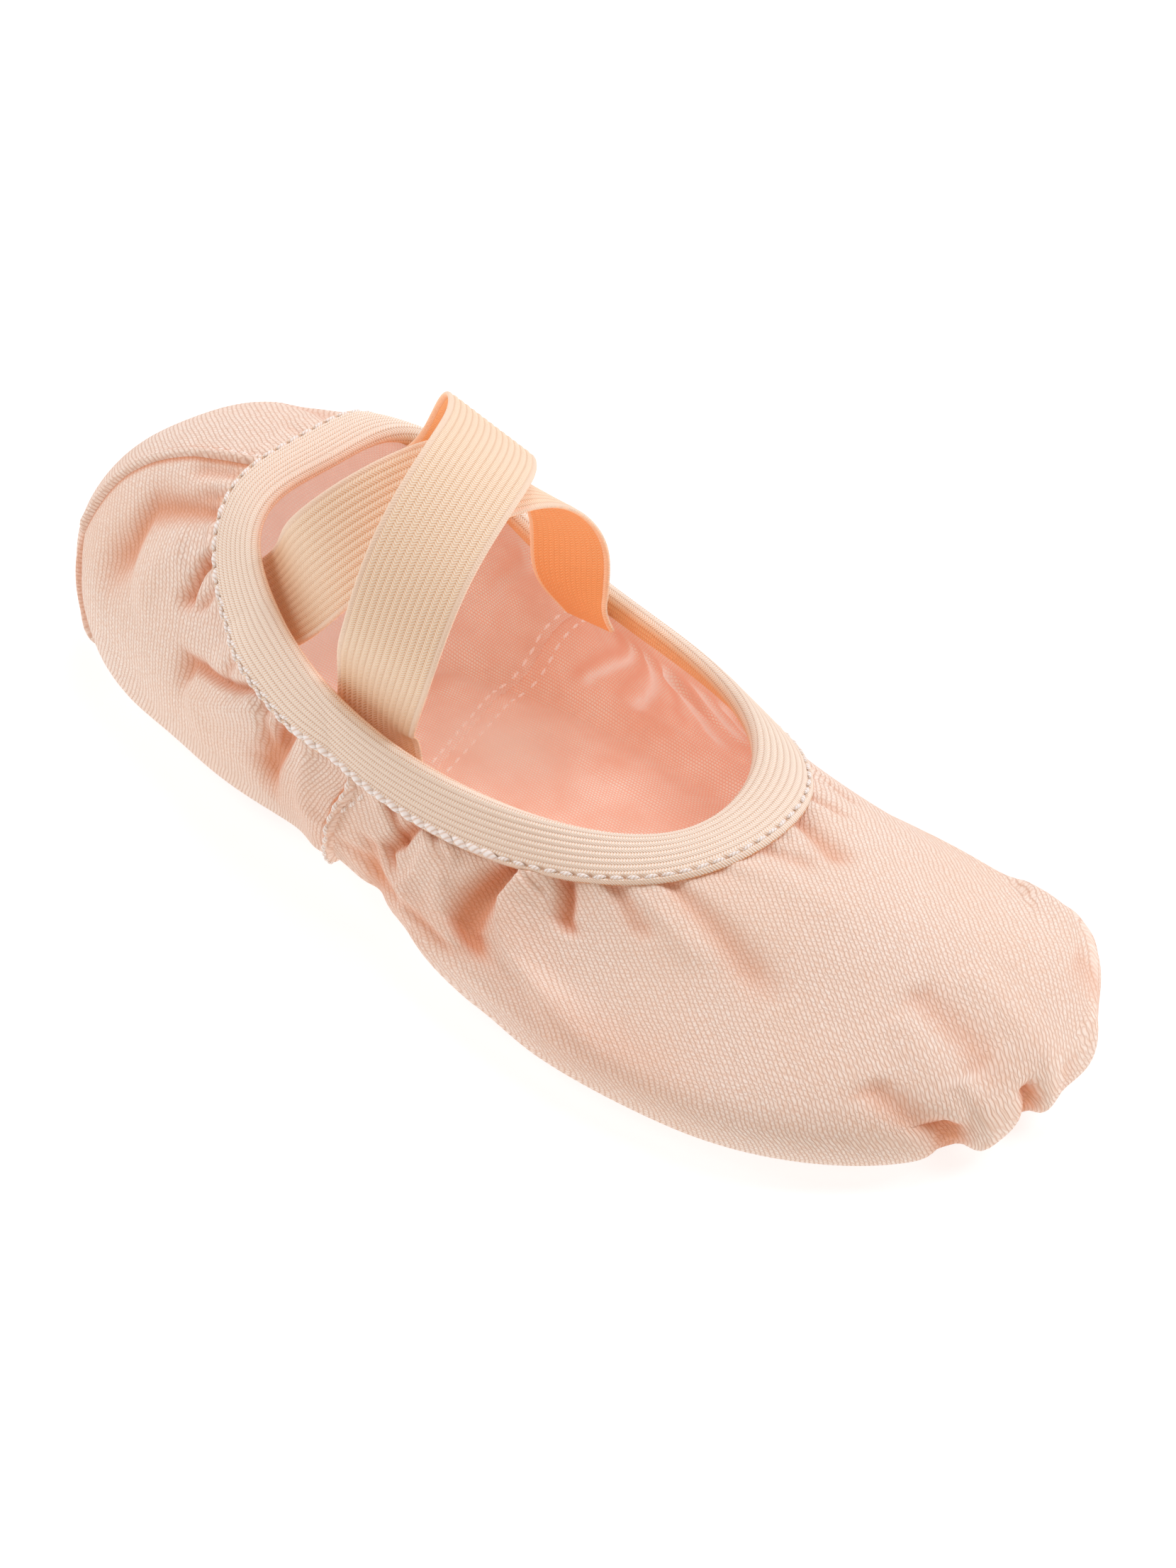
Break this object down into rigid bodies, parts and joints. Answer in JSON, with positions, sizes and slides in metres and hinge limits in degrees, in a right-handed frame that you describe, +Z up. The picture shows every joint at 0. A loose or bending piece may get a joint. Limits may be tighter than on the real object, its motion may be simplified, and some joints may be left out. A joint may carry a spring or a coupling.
{
  "type": "ballet slipper",
  "caption": "Right ballet slipper in soft peach stretch canvas, with an elastic-bound collar, crossed elastic straps over the instep and a split suede sole.",
  "frame": {"origin": "on the floor under the middle of the slipper's box", "axes": "+Z up, toe towards -Y, heel towards +Y, the wearer's right side (the outer side) at -X"},
  "size_m": [0.0937, 0.2365, 0.0873],
  "materials": {
    "canvas": "matt stretch canvas with a fine diagonal twill",
    "collar_elastic": "matt knitted elastic, ribbed along its length",
    "strap_elastic": "matt woven elastic, ribbed along its length, with pale edges",
    "suede": "brushed split suede",
    "cotton_lining": "matt plain cotton",
    "thread": "matt twisted sewing thread"
  },
  "bodies": {
    "root": {"upper": "canvas", "collar_binding": "collar_elastic", "strap_over": "strap_elastic", "strap_under": "strap_elastic", "front_sole": "suede", "heel_sole": "suede", "insole": "cotton_lining"}
  },
  "joints": []
}
